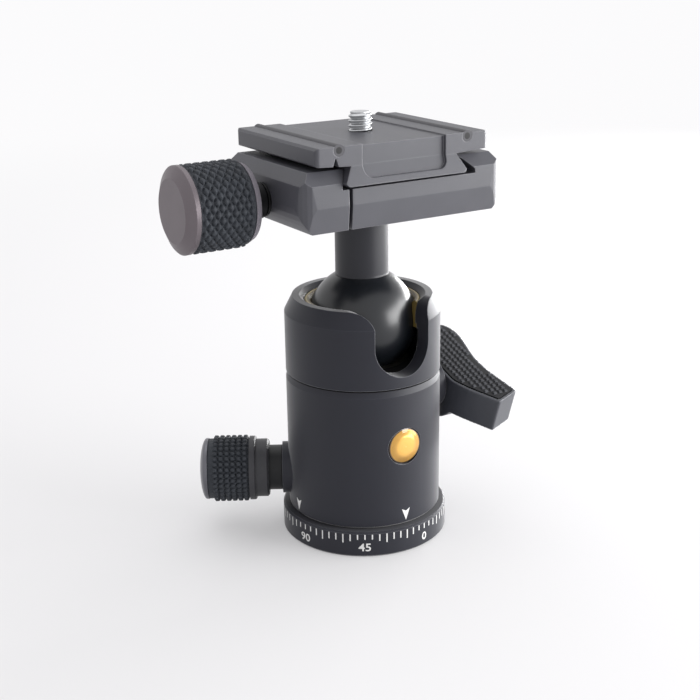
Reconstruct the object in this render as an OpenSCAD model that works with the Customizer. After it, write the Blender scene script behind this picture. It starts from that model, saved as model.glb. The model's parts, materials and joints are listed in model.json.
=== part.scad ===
// Compact tripod ball head with a dovetail clamp and a quick-release plate.
// Origin: centre of the base's underside. +Z up. The drop notch faces -Y,
// the lock lever sits on +X and the clamp knob on -X.

/* [Fits] */
// Radial play of pieces that turn or slide in a bore
run_gap = 0.05; // [0.02:0.01:0.09]
// Gap between two moving pieces that seat face to face
seat_gap = 0.15; // [0.1:0.05:0.3]
// Radial gap of pieces that are pressed or screwed together
press_gap = 0.02; // [0.01:0.01:0.05]
// Gap left under a piece that must never rub
free_gap = 0.3; // [0.2:0.05:0.5]
// Gap between the brake pad and the spigot while the pan knob is loose
brake_gap = 0.3; // [0.26:0.01:0.4]
// Gap between the plate's flanks and the clamp's lips
flank_gap = 0.2; // [0.1:0.05:0.3]

/* [Base] */
// Diameter of the dial ring
base_d = 46.6; // [45.6:0.1:60]
// Height of the dial ring
base_h = 7.4; // [6:0.1:12]
// Bevel on the dial ring's edges
base_bevel = 0.5; // [0.2:0.1:1]
// Diameter of the spigot that the housing turns on
spigot_d = 24; // [22:0.5:28]
// Height of the spigot above the dial ring
spigot_h = 17.6; // [16:0.2:19]
// Diameter of the post above the spigot
post_d = 12; // [10:0.5:14]
// Height of the post above the spigot
post_h = 6; // [5:0.2:6.5]
// Bore of the 3/8 inch tripod thread, measured at its crests
thread_bore_d = 8; // [7.6:0.1:8.6]
// Outer diameter of the thread insert
insert_d = 12.8; // [11.5:0.1:16]
// Depth of the tripod thread
thread_depth = 10; // [7:0.5:14]
// Thickness of the friction washer under the housing
washer_t = 0.7; // [0.5:0.1:1.2]
// Width of the housing's rim outside the friction washer
washer_rim = 3; // [2:0.1:5]
// Thickness of the retaining nut on the post
retainer_t = 3.6; // [2.5:0.1:4.5]

/* [Housing] */
// Outer diameter of the housing
body_d = 43; // [42:0.1:44.6]
// Height of the lower housing
lower_h = 39.9; // [38:0.1:44]
// Height of the upper housing above the groove
upper_h = 21.1; // [20.2:0.1:22]
// Outer diameter of the rim
rim_d = 38.5; // [37:0.1:41]
// Height of the sloped shoulder below the rim
shoulder_h = 4.4; // [2:0.1:6]
// Bore of the rim where it opens
rim_bore_d = 34.6; // [33:0.1:36]
// Depth of the groove between the two housings
groove_depth = 0.6; // [0.3:0.1:1.2]
// Height of the groove's straight part
groove_w = 0.8; // [0.4:0.1:2]
// Height of the groove's sloped lower side
groove_slope = 1.4; // [0.5:0.1:3]
// Diameter of the cavity that holds the lock piston
cavity_d = 34.1; // [33.9:0.1:35]
// Width of the drop notch
notch_w = 16.8; // [16.6:0.1:18.4]
// Height of the notch's lowest point above the groove
notch_floor = 2.9; // [2:0.1:4.5]
// Radius of the notch's rounded upper corners
notch_lip_r = 4.7; // [2:0.1:5]
// Length of the upper housing's threaded skirt
skirt_h = 4.4; // [3:0.1:4.6]
// Wall of the threaded skirt
skirt_t = 2.15; // [1.5:0.05:2.6]
// Diameter of the round badge, left bare
badge_d = 9.9; // [6:0.1:14]
// Height of the badge above the housing's lower edge
badge_z = 22.9; // [14:0.1:24]
// Depth of the badge's recess below the housing's surface
badge_depth = 1.4; // [0.8:0.1:2]
// Height of the badge's straight edge
badge_edge = 0.9; // [0.5:0.1:1.2]
// Height of the badge's dome above that edge
badge_dome = 0.63; // [0.2:0.05:1]

/* [Ball and stem] */
// Diameter of the ball
ball_d = 30; // [29:0.1:30.4]
// Height of the ball's centre above the groove
ball_rise = 13.6; // [13.2:0.1:14.4]
// Thickness of the upper liner at the ball's widest place
liner_t = 0.8; // [0.6:0.05:0.9]
// How far the upper liner's foot stands out, under a step in the housing
liner_foot = 0.6; // [0.4:0.05:0.8]
// Height of that foot
liner_foot_h = 1.2; // [0.8:0.1:2]
// Thickness of the lower seat
seat_t = 1.45; // [1.2:0.05:1.5]
// Height of the upper liner above the ball's centre
liner_up = 6.3; // [4:0.1:6.6]
// Depth of the upper liner below the ball's centre
liner_down = 0.5; // [0.2:0.1:2]
// Diameter of the stem
stem_d = 14.5; // [12:0.1:15]
// Length from the ball's centre to the top of the stem
stem_h = 31; // [28:0.1:40]
// Radius of the fillet where the stem meets the ball
neck_r = 0.9; // [0.5:0.1:1]
// Diameter of the bolt that holds the clamp
bolt_d = 6; // [5:0.5:6.5]
// Length of the bolt inside the stem
bolt_grip = 10; // [6:0.5:14]

/* [Ball lock] */
// Height of the lever's axis above the housing's lower edge
lever_z = 30.8; // [30:0.1:31.4]
// Radius of the cam on the lever's shaft
cam_r = 4; // [3.6:0.1:4.1]
// Offset of the cam from the shaft's axis
cam_offset = 0.8; // [0.6:0.05:1]
// Angle of the cam's high side from straight up at rest
cam_lead = 40; // [30:1:50]
// Length of the cam
cam_w = 14; // [8:0.5:18]
// Radius of the shaft's bearing beside the lever
shaft_r = 4; // [3.5:0.1:4.5]
// Radius of the shaft's far bearing
tail_r = 3; // [2.5:0.1:3.4]
// Diameter of the round boss round the lever's shaft
lever_boss_d = 15; // [13.5:0.5:18]
// How far that boss stands out from the housing
lever_boss_h = 1.9; // [1.2:0.1:3]
// Height of the lock piston's wall above its underside
piston_h = 7.2; // [6:0.1:7.6]

/* [Lock lever] */
// Reach of the lever in front of its axis
lever_front = 21.3; // [18:0.1:23]
// Reach of the lever behind its axis
lever_back = 19.5; // [15:0.1:20]
// Thickness of the lever at its hub, along its axis
lever_hub_t = 13.9; // [12:0.1:16]
// How far the tip's inner edge is swept away from the housing
lever_sweep = 7.9; // [4:0.1:10]
// Thickness of the lever's tip, along its axis
lever_tip_t = 8.3; // [6:0.1:10]
// Height of the lever, across its axis
lever_h = 10.4; // [9:0.1:14]
// Radius of the barrel under the lever's hub
lever_barrel_r = 11; // [8:0.1:12]
// Angle of the lever's tip below level at rest
lever_droop = 18; // [0:1:40]
// Border left round each rubber pad
pad_border = 1; // [0.6:0.1:2]
// Depth of each pad's pocket
pad_pocket = 0.6; // [0.4:0.1:1]
// How far each pad stands out of its pocket
pad_proud = 0.2; // [0:0.05:0.4]

/* [Pan lock] */
// Angle of the pan knob round the body, from the notch towards -X
pan_angle = 120; // [80:1:140]
// Height of the pan knob's axis above the housing's lower edge
pan_z = 9.5; // [9.5:0.1:10.4]
// Diameter of the boss on the housing
pan_boss_d = 14.7; // [13:0.1:16]
// How far the boss stands out from the housing
pan_boss_h = 1.7; // [1:0.1:3]
// Diameter of the screw
pan_screw_d = 6; // [5:0.5:6.5]
// Diameter of the brass bush round the screw
pan_bush_d = 12; // [10.4:0.1:13]
// Diameter of the brake pad
brake_d = 7.9; // [6:0.1:9]
// Length of the brake pad, from the spigot outwards
brake_l = 5.3; // [4:0.1:5.6]
// Room behind the brake pad for its travel
brake_room = 0.6; // [0.55:0.05:1]
// Diameter of the sleeve behind the knob
pan_sleeve_d = 12.8; // [10:0.1:14]
// Length of the sleeve
pan_sleeve_l = 3.7; // [2:0.1:6]
// Diameter of the collar
pan_collar_d = 16.5; // [14:0.1:18]
// Length of the collar
pan_collar_l = 3.7; // [2:0.1:6]
// Diameter of the knob's flange
pan_flange_d = 18.2; // [17:0.1:18.4]
// Thickness of the knob's flange
pan_flange_t = 1.8; // [1:0.1:3]
// Diameter of the grip over its peaks
pan_grip_d = 18.8; // [18:0.1:19]
// Length of the grip
pan_grip_l = 11.7; // [8:0.1:16]
// Plain band at the grip's outer end
pan_grip_band = 1.4; // [0.4:0.1:2]
// Diameter of the domed cap
pan_cap_d = 17.4; // [14:0.1:18]
// Height of the domed cap
pan_cap_h = 2.5; // [1.5:0.1:4]

/* [Clamp] */
// Height of the clamp
clamp_h = 15.05; // [14:0.05:18]
// Half length of the clamp along the rail
clamp_y = 21.2; // [19:0.1:24]
// Distance from the stem's axis to the clamp's fixed end
clamp_right = 30.9; // [28:0.1:34]
// Distance from the stem's axis to the jaw's outer end
clamp_left = 29.6; // [27:0.1:34]
// Distance from the stem's axis to the split between clamp and jaw
split_x = 15.4; // [14.4:0.1:15.8]
// Gap of the split when the jaw is tight
split_gap = 1; // [0.5:0.1:1.2]
// Height of the channel's floor above the clamp's underside
channel_floor = 10.3; // [9.6:0.1:12]
// Depth of the relief beside the foot of the dovetail
relief_w = 3.9; // [2:0.1:4.5]
// Height of the relief's upright wall
relief_h = 1.1; // [0.6:0.1:1.6]
// Height of the fixed lip's face that bears on the plate's flank
lip_h = 2.15; // [1.4:0.05:2.6]
// Length of the lead-in at each end of the fixed lip
lead_in = 4; // [1:0.1:6]
// How far the lead-in stands away from the plate's flank at the lip's top
lead_w = 1.1; // [0.4:0.1:1.6]
// Height of the bevel on the clamp's upper edges
top_bevel_h = 3.1; // [1:0.1:4]
// Width of the bevel on the clamp's upper edges
top_bevel_w = 2.4; // [1:0.1:3]
// Radius of the clamp's upright corners
clamp_corner_r = 4; // [2:0.1:6]
// Diameter of the jaw's guide pins
pin_d = 3; // [2:0.1:4]
// Distance between the guide pins
pin_pitch = 26; // [22:0.5:30]
// Depth of the guide pins in the clamp
pin_grip = 8.8; // [6:0.1:9.4]
// Wall of the jaw outside the guide pins' bores
pin_wall = 2.4; // [1.5:0.1:4]
// Diameter of the springs round the guide pins
spring_d = 5.6; // [5:0.1:6.4]
// Diameter of the springs' wire
spring_wire = 0.7; // [0.4:0.05:0.8]
// Turns in each spring
spring_turns = 5; // [4:1:8]
// Depth of the springs' seats in the clamp and in the jaw
spring_seat = 4; // [3:0.1:5]

/* [Clamp knob] */
// Height of the knob's axis above the clamp's underside
knob_z = 5.8; // [5.2:0.1:6.6]
// Diameter of the clamp screw
knob_screw_d = 6; // [5:0.5:6.5]
// Diameter of the hub between jaw and knob
hub_d = 9.3; // [8:0.1:12]
// Length of the hub
hub_l = 4.9; // [3.5:0.1:10]
// Thickness of the washer under the hub
thrust_t = 0.6; // [0.4:0.1:1]
// Diameter of the knob's rear flange
knob_flange_d = 21.3; // [18:0.1:22]
// Thickness of the knob's rear flange
knob_flange_t = 1.7; // [1:0.1:3]
// Diameter of the grip over its peaks
knob_grip_d = 22.4; // [21:0.1:24]
// Length of the grip
knob_grip_l = 15; // [10:0.1:18]
// Plain band at each end of the grip
knob_grip_band = 0.6; // [0.3:0.1:2]
// Diameter of the cap
knob_cap_d = 22.3; // [18:0.1:24]
// Thickness of the cap
knob_cap_t = 3.1; // [2:0.1:5]
// Diameter of the cap's flat face
knob_face_d = 16.2; // [8:0.1:18]

/* [Grips] */
// Height of the grips' diamond studs
stud_h = 0.7; // [0.3:0.05:0.8]
// Spacing of the studs on the clamp knob
stud_pitch = 2.3; // [1.9:0.05:2.7]
// Spacing of the studs on the pan knob
pan_stud_pitch = 1.68; // [1.5:0.02:2]

/* [Plate] */
// Width of the plate across the rail
plate_w = 51.3; // [49:0.1:60]
// Length of the plate along the rail
plate_l = 42.2; // [36:0.1:60]
// Thickness of the plate's wings at their edge
wing_t = 4.6; // [3.5:0.1:6]
// Width of the dovetail's neck
neck_w = 31.6; // [30.5:0.1:33]
// Width of the dovetail's foot
foot_w = 36.2; // [35.4:0.1:38]
// Height of the bevel on the dovetail's lower edges
foot_bevel = 0.75; // [0.4:0.05:1.2]
// How far the foot's ends stand out past the wings
foot_reach = 1.9; // [0.5:0.1:3]
// Gap between the clamp's top and the plate's wings
wing_gap = 0.9; // [0.5:0.05:1.2]
// Gap between the plate's foot and the channel's floor
plate_lift = 0.9; // [0.5:0.05:1.2]
// Radius of the plate's corners seen from above
plate_corner_r = 1; // [0.5:0.1:3]
// Diameter of the rubber cords in the plate's top
cord_d = 3; // [2:0.1:3.2]
// Distance between the cords
cord_pitch = 38.4; // [36:0.1:44]
// Height that the cords stand above the plate
cord_proud = 0.55; // [0.3:0.05:0.8]
// Depth of the plate's middle field
field_depth = 0.35; // [0.1:0.05:0.8]
// Width of the plate's middle field
field_w = 25; // [10:0.1:32]
// Width of the pocket in each end of the plate
pocket_w = 25; // [16:0.1:28]
// Depth of that pocket
pocket_depth = 1; // [0.6:0.1:2.5]
// Height of the ledge under the pocket
pocket_ledge = 1.5; // [1:0.1:4]
// Radius of the pocket's lower corners
pocket_r = 2.5; // [1:0.1:4]
// Depth of the vee groove under one wing
vee_depth = 2; // [1:0.1:2.4]

/* [Camera screw] */
// Diameter of the 1/4 inch screw over its crests
screw_d = 6.2; // [6:0.05:6.4]
// Height of the screw above the plate
screw_up = 5; // [3:0.1:7]
// Diameter of the screw's slotted head
screw_head_d = 16; // [12:0.1:18]
// Thickness of the screw's head
screw_head_t = 3.4; // [2.5:0.1:3.6]
// Diameter of the clip that keeps the screw in the plate
clip_d = 10; // [8.6:0.1:11]

/* [Hidden] */
$fn = 96;

// heights above the underside of the base
body_z = base_h + free_gap;
spigot_z = base_h + spigot_h;
groove_z = body_z + lower_h;
rim_z = groove_z + upper_h;
ball_z = groove_z + ball_rise;
clamp_z = ball_z + stem_h;
lever_axis_z = body_z + lever_z;
pan_axis_z = body_z + pan_z;
knob_axis_z = clamp_z + knob_z;
plate_z = clamp_z + channel_floor + plate_lift;
wing_z = clamp_z + clamp_h + wing_gap;
plate_top = wing_z + wing_t + 0.55;

body_r = body_d / 2;
cavity_r = cavity_d / 2;
ball_r = ball_d / 2;
liner_in = ball_r + 0.12;
liner_out = liner_in + liner_t;
liner_foot_r = liner_out + liner_foot;
seat_out = liner_in + seat_t;
stem_r = stem_d / 2;
skirt_r = cavity_r + skirt_t;

// ball lock
cam_top = lever_axis_z + cam_r + cam_offset * cos(cam_lead);
piston_z = cam_top + 0.08;
lever_face = body_r + lever_boss_h;
lever_in = lever_face + free_gap;
lever_out = lever_in + lever_hub_t;
lever_bush_r = cam_r + cam_offset + 0.8;
screw4_r = 2;
screw4_head_r = 3.6;

// pan lock, as distances from the body's axis
pan_bush_in = spigot_d / 2 + brake_gap + brake_l + brake_room;
pan_face = body_r + pan_boss_h;
pan_collar_at = pan_face + seat_gap + pan_sleeve_l;
pan_flange_at = pan_collar_at + pan_collar_l;
pan_grip_at = pan_flange_at + pan_flange_t;
pan_cap_at = pan_grip_at + pan_grip_l;
pan_core_r = pan_grip_d / 2 - stud_h - 1.6;

// clamp knob, as distances from the stem's axis
jaw_seat = clamp_left - 0.3;
hub_at = jaw_seat + thrust_t;
flange_at = hub_at + hub_l;
grip_at = flange_at + knob_flange_t;
cap_at = grip_at + knob_grip_l;
knob_core_r = knob_grip_d / 2 - stud_h - 1.9;
knob_screw_tip = bolt_d / 2 + 3.8;

// plate
screw_pocket_h = screw_head_t + 0.7;
clip_t = 0.8;
flank_z = plate_z + foot_bevel;

// a point on a cubic curve, and n points along it
function bezier(p, t) = pow(1 - t, 3) * p[0] + 3 * t * pow(1 - t, 2) * p[1]
    + 3 * t * t * (1 - t) * p[2] + pow(t, 3) * p[3];
function along(p, n) = [for (i = [0:n - 1]) bezier(p, i / n)];

// turns a piece made along +Z so that it points outwards along +X
module along_x() {
    rotate([0, 90, 0]) children();
}

// places a piece made along +Z on the pan knob's axis, pointing away from the body
module on_pan_axis() {
    translate([0, 0, pan_axis_z]) rotate([0, 0, 270 - pan_angle]) along_x() children();
}

// places a piece made along +Z on the lever's axis, pointing away from the body
module on_lever_axis() {
    translate([0, 0, lever_axis_z]) along_x() children();
}

// places a piece made along +Z on the clamp knob's axis, pointing away from the clamp
module on_knob_axis() {
    translate([0, 0, knob_axis_z]) rotate([0, -90, 0]) children();
}

// a round bar from one distance to another along +Z
module bar(r, from, to) {
    translate([0, 0, from]) cylinder(r = r, h = to - from);
}

// a ring that spins round +Z from a list of [radius, height] points
module turned(points) {
    rotate_extrude() polygon(points);
}

// the cord of a helical spring: wire of radius w, coil radius r, height h
module spring(r, w, h, turns) {
    sides = 6;
    steps = 12;
    rings = turns * steps;
    rise = h - 2 * w;
    points = [for (k = [0:rings]) for (s = [0:sides - 1])
        let (a = 360 * k / steps, b = 360 * s / sides, q = r + w * cos(b))
        [q * cos(a), q * sin(a), w + rise * k / rings + w * sin(b)]];
    faces = concat(
        [[for (s = [0:sides - 1]) s]],
        [[for (s = [sides - 1:-1:0]) rings * sides + s]],
        [for (k = [0:rings - 1]) for (s = [0:sides - 1])
            let (a = k * sides + s, b = k * sides + (s + 1) % sides)
            [a, a + sides, b]],
        [for (k = [0:rings - 1]) for (s = [0:sides - 1])
            let (a = k * sides + s, b = k * sides + (s + 1) % sides)
            [b, a + sides, b + sides]]);
    polyhedron(points, faces);
}

// a rubber sleeve with diamond studs between two plain bands: every second point stands out
module studded_sleeve(r, bore, h, pitch, first_band, last_band) {
    columns = 2 * round(PI * r / pitch);
    studs = floor((h - first_band - last_band) / pitch + 0.05);
    step = (h - first_band - last_band) / studs;
    levels = concat([0, first_band], [for (k = [0:studs - 1]) first_band + (k + 0.5) * step],
        [h - last_band, h]);
    rows = studs + 3;
    low = r - stud_h;
    points = [for (j = [0:rows]) for (i = [0:columns - 1])
        let (peak = j > 1 && j < rows - 1 && (i + j) % 2 == 0, q = peak ? r : low, a = 360 * i / columns)
        [q * cos(a), q * sin(a), levels[j]]];
    function at(i, j) = j * columns + i % columns;
    faces = concat(
        [[for (i = [0:columns - 1]) i]],
        [[for (i = [columns - 1:-1:0]) rows * columns + i]],
        [for (j = [0:rows - 1]) for (i = [0:columns - 1])
            (i + j) % 2 == 0 ? [at(i, j), at(i, j + 1), at(i + 1, j)]
                             : [at(i, j), at(i, j + 1), at(i + 1, j + 1)]],
        [for (j = [0:rows - 1]) for (i = [0:columns - 1])
            (i + j) % 2 == 0 ? [at(i + 1, j), at(i, j + 1), at(i + 1, j + 1)]
                             : [at(i, j), at(i + 1, j + 1), at(i + 1, j)]]);
    difference() {
        polyhedron(points, faces);
        bar(bore, -1, h + 1);
    }
}

// the arc of n + 1 points that rounds corner b, between a and c, by radius r
function corner(a, b, c, r, n) =
    let (u = (a - b) / norm(a - b), v = (c - b) / norm(c - b), half = acos(u * v) / 2,
        centre = b + (u + v) / norm(u + v) * r / sin(half),
        p = b + u * r / tan(half) - centre, q = b + v * r / tan(half) - centre,
        turn = sign(p[0] * q[1] - p[1] * q[0]) * (180 - 2 * half))
    [for (i = [0:n]) centre + [p[0] * cos(turn * i / n) - p[1] * sin(turn * i / n),
                               p[0] * sin(turn * i / n) + p[1] * cos(turn * i / n)]];

// an outline of [x, y, radius] corners with every corner rounded
function rounded(c, n = 5) = [for (i = [0:len(c) - 1])
    let (a = c[(i + len(c) - 1) % len(c)], b = c[i], d = c[(i + 1) % len(c)])
    each b[2] > 0 ? corner([a[0], a[1]], [b[0], b[1]], [d[0], d[1]], b[2], n) : [[b[0], b[1]]]];

// extrudes an outline drawn in X and Z along Y, from one value of Y to another
module along_y(from, to) {
    translate([0, to, 0]) rotate([90, 0, 0]) linear_extrude(to - from) children();
}

// ---- base ----

module pan_base() {
    r = base_d / 2;
    top = spigot_z + post_h;
    color("dimgray") difference() {
        turned([[0, 0], [r - base_bevel, 0], [r, base_bevel], [r, base_h - base_bevel],
            [r - base_bevel, base_h], [spigot_d / 2, base_h], [spigot_d / 2, spigot_z],
            [post_d / 2, spigot_z], [post_d / 2, top - base_bevel], [post_d / 2 - base_bevel, top], [0, top]]);
        bar(insert_d / 2 + press_gap, -1, thread_depth + press_gap);
        bar(thread_bore_d / 2 + 1, thread_depth - 1, thread_depth + 2);
    }
}

module thread_insert() {
    color("silver") difference() {
        bar(insert_d / 2, 0, thread_depth);
        bar(thread_bore_d / 2, -1, thread_depth + 1);
    }
}

module pan_washer() {
    color("whitesmoke") difference() {
        bar(body_r - washer_rim, base_h, base_h + washer_t);
        bar(spigot_d / 2 + free_gap, base_h - 1, base_h + washer_t + 1);
    }
}

module pan_retainer() {
    r = cavity_r - 1.6;
    color("silver") difference() {
        bar(r, spigot_z, spigot_z + retainer_t);
        bar(post_d / 2 + press_gap, spigot_z - 1, spigot_z + retainer_t + 1);
        for (a = [0, 180]) rotate([0, 0, a]) translate([(r + post_d / 2) / 2, 0, 0])
            bar(1.2, spigot_z + retainer_t / 2, spigot_z + retainer_t + 1);
    }
}

// ---- housing ----

module lower_housing() {
    shelf = spigot_z - seat_gap;
    bore = spigot_d / 2 + run_gap;
    skirt_bore = skirt_r + press_gap;
    skirt_seat = groove_z - skirt_h - press_gap;
    waist = body_r - groove_depth;
    color("#2d2e30") difference() {
        union() {
            turned([[bore, body_z], [body_r - base_bevel, body_z], [body_r, body_z + base_bevel],
                [body_r, groove_z - groove_w - groove_slope], [waist, groove_z - groove_w], [waist, groove_z],
                [skirt_bore, groove_z], [skirt_bore, skirt_seat], [cavity_r, skirt_seat],
                [cavity_r, shelf], [bore, shelf]]);
            on_pan_axis() bar(pan_boss_d / 2, body_r - 3, pan_face);
            on_lever_axis() bar(lever_boss_d / 2, skirt_bore + 0.3, lever_face);
        }
        bar(body_r - washer_rim + free_gap, body_z - 1, base_h + washer_t + seat_gap);
        on_pan_axis() {
            bar(brake_d / 2 + run_gap, 0, pan_bush_in + press_gap);
            bar(pan_bush_d / 2 + press_gap, pan_bush_in, pan_face + 1);
        }
        on_lever_axis() {
            bar(cam_r + cam_offset + 0.1, 0, body_r);
            bar(lever_bush_r + press_gap, skirt_bore + 0.3, lever_face + 1);
            bar(tail_r + run_gap, 1.5 - body_r, 0);
        }
        translate([0, 0, body_z + badge_z]) rotate([90, 0, 0])
            bar(badge_d / 2 + 0.25, body_r - badge_depth, body_r + 1);
    }
}

// the U of the drop notch, drawn in X and Z, with flared upper corners
module notch_shape() {
    half = notch_w / 2;
    flare = half + notch_lip_r;
    low = rim_z - notch_lip_r;
    centre = groove_z + notch_floor + half;
    translate([0, centre]) circle(half);
    translate([-half, centre]) square([notch_w, rim_z + 1 - centre]);
    translate([-flare, rim_z - 0.001]) square([2 * flare, 2]);
    difference() {
        translate([-flare, low]) square([2 * flare, notch_lip_r]);
        for (side = [-1, 1]) translate([side * flare, low]) circle(notch_lip_r);
    }
}

module upper_housing() {
    bore = liner_out + press_gap;
    seat = liner_foot_r + press_gap;
    step = ball_z - liner_down;
    step_top = step + liner_foot_h + press_gap;
    color("#2d2e30") difference() {
        turned([[0, groove_z - skirt_h], [skirt_r, groove_z - skirt_h], [skirt_r, groove_z],
            [body_r, groove_z], [body_r, rim_z - shoulder_h], [rim_d / 2, rim_z], [0, rim_z]]);
        turned([[0, groove_z - skirt_h - 1], [cavity_r, groove_z - skirt_h - 1], [cavity_r, step],
            [seat, step], [seat, step_top], [bore, step_top], [bore, ball_z + liner_up],
            [rim_bore_d / 2, rim_z], [rim_bore_d / 2, rim_z + 1], [0, rim_z + 1]]);
        along_y(-body_r - 2, -ball_r / 3) notch_shape();
    }
}

module ball_liner() {
    low = ball_z - liner_down;
    high = ball_z + liner_up;
    ridge = liner_out - liner_t / 2;
    color("goldenrod") difference() {
        turned([[0, low], [liner_foot_r, low], [liner_foot_r, low + liner_foot_h],
            [liner_out, low + liner_foot_h], [liner_out, high - liner_t / 2], [ridge, high],
            [ridge - liner_t, high], [ridge - 2 * liner_t, high - liner_t], [0, high - liner_t]]);
        translate([0, 0, ball_z]) sphere(liner_in);
        along_y(-body_r - 2, -ball_r / 3) notch_shape();
    }
}

module badge_disc() {
    r = badge_d / 2;
    back = body_r - badge_depth;
    color("gold") translate([0, 0, body_z + badge_z]) rotate([90, 0, 0])
        turned(concat([[0, back], [r, back]], [for (k = [0:0.2:1])
            [r * (1 - k), back + badge_edge + badge_dome * (1 - pow(1 - k, 2))]]));
}

module pan_bush() {
    color("darkgoldenrod") on_pan_axis() difference() {
        bar(pan_bush_d / 2, pan_bush_in + press_gap, pan_face);
        bar(pan_screw_d / 2 + run_gap, pan_bush_in - 1, pan_face + 1);
    }
}

module lever_bush() {
    color("darkgoldenrod") on_lever_axis() difference() {
        bar(lever_bush_r, skirt_r + press_gap + 0.3, lever_face);
        bar(shaft_r + run_gap, skirt_r - 1, lever_face + 1);
    }
}

// ---- ball lock ----

module lock_piston() {
    r = cavity_r - run_gap;
    top = piston_z + piston_h;
    color("darkgray") difference() {
        turned([[0, piston_z], [r - base_bevel, piston_z], [r, piston_z + base_bevel],
            [r, top], [0, top]]);
        translate([0, 0, ball_z]) sphere(seat_out + press_gap);
    }
}

module ball_seat() {
    color("goldenrod") difference() {
        intersection() {
            translate([0, 0, ball_z]) sphere(seat_out);
            bar(seat_out, ball_z - seat_out - 1, piston_z + piston_h);
        }
        translate([0, 0, ball_z]) sphere(liner_in);
        bar(5, ball_z - seat_out - 1, ball_z);
    }
}

module cam_shaft() {
    color("silver") on_lever_axis() difference() {
        union() {
            bar(tail_r, 1.7 - body_r, -cam_w / 2);
            translate([-cam_offset * cos(cam_lead), cam_offset * sin(cam_lead), 0])
                bar(cam_r, -cam_w / 2, cam_w / 2);
            bar(shaft_r, cam_w / 2, lever_in + lever_hub_t / 2);
        }
        bar(screw4_r + press_gap, lever_in - 5, lever_out);
    }
}

// ---- lock lever: drawn from above, with its front arm towards -Y ----

function lever_outline(inner, outer) = let (
        tip_in = lever_in + lever_sweep,
        tip_out = tip_in + lever_tip_t,
        tail_out = lever_out + 2.4,
        arm = 7.3)
    concat(
        along([[inner, -arm], [inner + 0.2, -arm - 3.2], [tip_in - 4, 6 - lever_front],
            [tip_in, -lever_front]], 6),
        rounded([[tip_in, -lever_front, 0]]),
        corner([tip_in, -lever_front], [tip_out, 3 - lever_front], [outer + 0.8, -10], 0.9, 3),
        along([[outer + 1, -11.7], [outer - 0.1, -7.2], [outer - 0.2, -4], [outer, -1]], 4),
        along([[outer, -1], [outer + 0.6, 4], [tail_out + 0.2, 9], [tail_out, 12.5]], 5),
        along([[tail_out, 12.5], [tail_out, lever_back - 1.5], [outer - 1.5, lever_back],
            [outer - 4.5, lever_back]], 5),
        along([[outer - 4.5, lever_back], [tip_in - 2, lever_back - 0.5], [inner + 0.6, arm + 5.5],
            [inner, arm]], 6));

// turns a piece with the lever, from level to its droop at rest
module at_lever() {
    translate([0, 0, lever_axis_z]) rotate([lever_droop, 0, 0]) children();
}

module lever_blank(h) {
    at_lever() translate([0, 0, -h / 2]) linear_extrude(h) children();
}

// the lower half of a barrel round the lever's axis
module lever_barrel(r) {
    difference() {
        on_lever_axis() bar(r, lever_in - 5, lever_out + 5);
        at_lever() linear_extrude(2 * r) square(200, center = true);
    }
}

module lock_lever() {
    depth = lever_h - 2 * pad_pocket;
    color("#26272a") difference() {
        union() {
            lever_blank(lever_h) polygon(lever_outline(lever_in, lever_out));
            intersection() {
                lever_blank(2 * lever_barrel_r) polygon(lever_outline(lever_in, lever_out));
                lever_barrel(lever_barrel_r);
            }
        }
        difference() {
            lever_blank(lever_h + 1) offset(delta = -pad_border) polygon(lever_outline(lever_in, lever_out));
            lever_blank(depth) square(200, center = true);
            lever_barrel(lever_barrel_r);
        }
        on_lever_axis() {
            bar(shaft_r + press_gap, lever_in - 1, lever_in + lever_hub_t / 2 + press_gap);
            bar(screw4_r + press_gap, lever_in, lever_out + 1);
            bar(screw4_head_r + press_gap, lever_out - 3, lever_out + 3);
        }
    }
}

module lever_pads() {
    color("#18191a") difference() {
        lever_blank(lever_h + 2 * pad_proud) offset(delta = -pad_border - 0.1)
            polygon(lever_outline(lever_in, lever_out));
        lever_blank(lever_h - 2 * pad_pocket + 0.02) square(200, center = true);
        lever_barrel(lever_barrel_r + 0.1);
    }
}

module lever_screw() {
    color("silver") on_lever_axis() difference() {
        union() {
            bar(screw4_r, lever_in - 4, lever_out - 2.5);
            bar(screw4_head_r, lever_out - 3 + press_gap, lever_out - 0.4);
        }
        translate([0, 0, lever_out - 2]) cylinder(r = 1.7, h = 3, $fn = 6);
    }
}

// ---- pan lock ----

module brake_pad() {
    color("sienna") difference() {
        on_pan_axis() bar(brake_d / 2, 0, pan_bush_in - brake_room);
        bar(spigot_d / 2 + brake_gap, body_z, spigot_z);
    }
}

module pan_screw() {
    color("silver") on_pan_axis() bar(pan_screw_d / 2, pan_bush_in - brake_room / 2, pan_cap_at);
}

module pan_knob() {
    start = pan_face + seat_gap;
    color("#2a2b2d") on_pan_axis() difference() {
        turned([[0, start], [pan_sleeve_d / 2, start], [pan_sleeve_d / 2, pan_collar_at],
            [pan_collar_d / 2 - 0.5, pan_collar_at], [pan_collar_d / 2, pan_collar_at + 0.5],
            [pan_collar_d / 2, pan_flange_at], [pan_flange_d / 2 - 0.3, pan_flange_at],
            [pan_flange_d / 2, pan_flange_at + 0.3], [pan_flange_d / 2, pan_grip_at],
            [pan_core_r, pan_grip_at], [pan_core_r, pan_cap_at], [0, pan_cap_at]]);
        bar(pan_screw_d / 2 + press_gap, start - 1, pan_cap_at + 1);
    }
}

module pan_grip() {
    color("#1b1c1d") on_pan_axis() translate([0, 0, pan_grip_at])
        studded_sleeve(pan_grip_d / 2, pan_core_r + press_gap, pan_grip_l, pan_stud_pitch,
            free_gap, pan_grip_band);
}

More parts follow.
